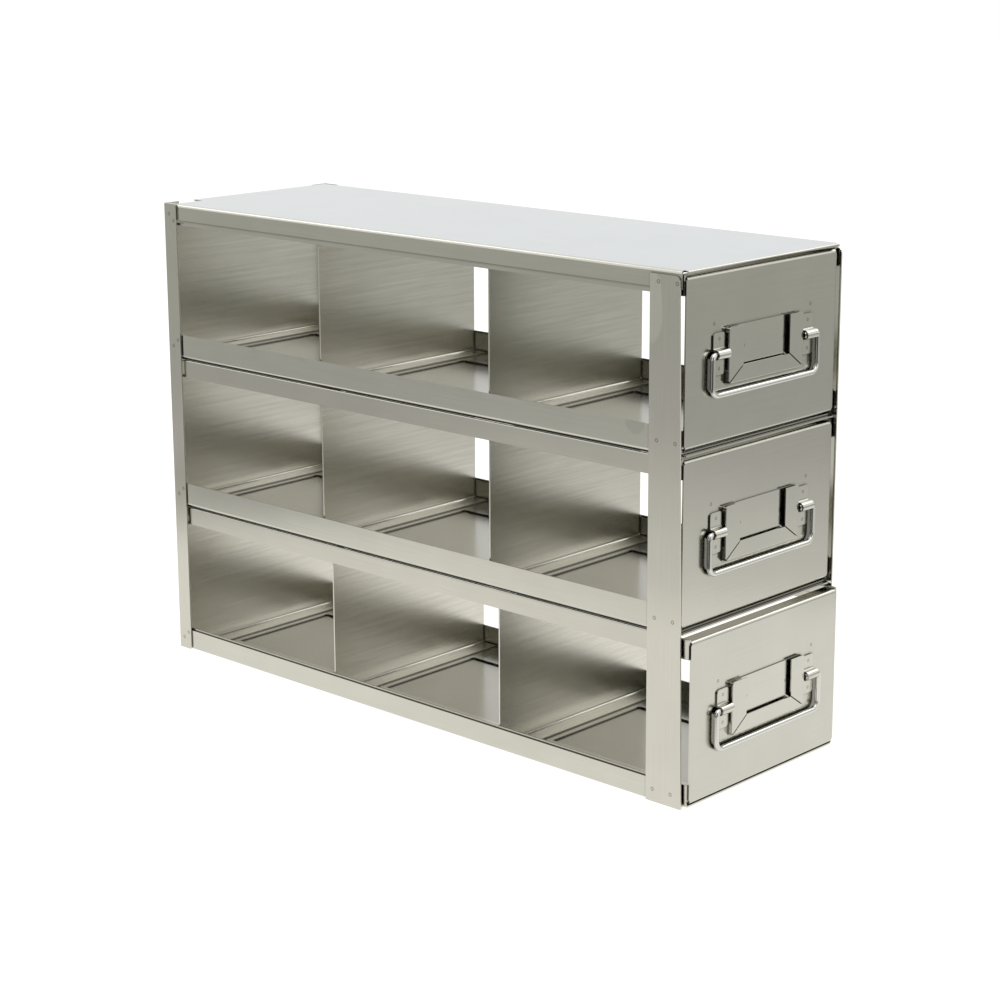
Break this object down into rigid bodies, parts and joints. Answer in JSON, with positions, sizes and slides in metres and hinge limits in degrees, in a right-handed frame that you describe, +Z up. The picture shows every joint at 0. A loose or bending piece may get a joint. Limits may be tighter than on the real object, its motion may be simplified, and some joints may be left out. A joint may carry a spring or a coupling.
{
  "type": "freezer storage rack",
  "caption": "Upright sheet-steel freezer rack with open sides and stacked sliding drawers, each with dividers, a label holder and a swinging wire handle.",
  "frame": {"origin": "centre of the rack's footprint, on the underside of the base sheet, which is level with the ends of the posts", "axes": "+Z up, -Y towards the drawer fronts and handles, +X to the right of someone facing the drawers"},
  "size_m": [0.14, 0.4348, 0.2952],
  "materials": {
    "rack_steel": "brushed stainless sheet, grain along each strip",
    "shelf_steel": "smooth glossy stainless sheet",
    "drawer_steel": "smooth glossy stainless sheet",
    "front_steel": "finely brushed stainless sheet",
    "handle_wire": "polished stainless wire"
  },
  "bodies": {
    "rack": {"top_panel": "shelf_steel", "shelf_upper": "shelf_steel", "shelf_middle": "shelf_steel", "base_panel": "shelf_steel", "post_front_left": "rack_steel", "post_front_right": "rack_steel", "post_rear_left": "rack_steel", "post_rear_right": "rack_steel"},
    "bottom_drawer": {"bottom_tray": "drawer_steel", "bottom_rail_left": "drawer_steel", "bottom_rail_right": "drawer_steel", "bottom_front_panel": "front_steel", "bottom_divider_front": "drawer_steel", "bottom_divider_rear": "drawer_steel", "bottom_rear_wall": "drawer_steel", "bottom_label_holder": "front_steel", "bottom_saddle_left": "front_steel", "bottom_saddle_right": "front_steel"},
    "bottom_handle": {"bottom_bail": "handle_wire"},
    "middle_drawer": {"middle_tray": "drawer_steel", "middle_rail_left": "drawer_steel", "middle_rail_right": "drawer_steel", "middle_front_panel": "front_steel", "middle_divider_front": "drawer_steel", "middle_divider_rear": "drawer_steel", "middle_rear_wall": "drawer_steel", "middle_label_holder": "front_steel", "middle_saddle_left": "front_steel", "middle_saddle_right": "front_steel"},
    "middle_handle": {"middle_bail": "handle_wire"},
    "top_drawer": {"top_tray": "drawer_steel", "top_rail_left": "drawer_steel", "top_rail_right": "drawer_steel", "top_front_panel": "front_steel", "top_divider_front": "drawer_steel", "top_divider_rear": "drawer_steel", "top_rear_wall": "drawer_steel", "top_label_holder": "front_steel", "top_saddle_left": "front_steel", "top_saddle_right": "front_steel"},
    "top_handle": {"top_bail": "handle_wire"}
  },
  "joints": [
    {"name": "bottom_drawer_slide", "type": "slide", "parent": "rack", "child": "bottom_drawer", "axis": [0, -1, 0], "range_m": [-0.007, 0.383]},
    {"name": "bottom_handle_swing", "type": "hinge", "parent": "bottom_drawer", "child": "bottom_handle", "pos_m": [0, -0.22008, 0.0516], "axis": [-1, 0, 0], "range_deg": [0, 180]},
    {"name": "middle_drawer_slide", "type": "slide", "parent": "rack", "child": "middle_drawer", "axis": [0, -1, 0], "range_m": [0, 0.39]},
    {"name": "middle_handle_swing", "type": "hinge", "parent": "middle_drawer", "child": "middle_handle", "pos_m": [0, -0.21308, 0.1497], "axis": [-1, 0, 0], "range_deg": [0, 180]},
    {"name": "top_drawer_slide", "type": "slide", "parent": "rack", "child": "top_drawer", "axis": [0, -1, 0], "range_m": [0, 0.39]},
    {"name": "top_handle_swing", "type": "hinge", "parent": "top_drawer", "child": "top_handle", "pos_m": [0, -0.21308, 0.2478], "axis": [-1, 0, 0], "range_deg": [0, 180]}
  ]
}
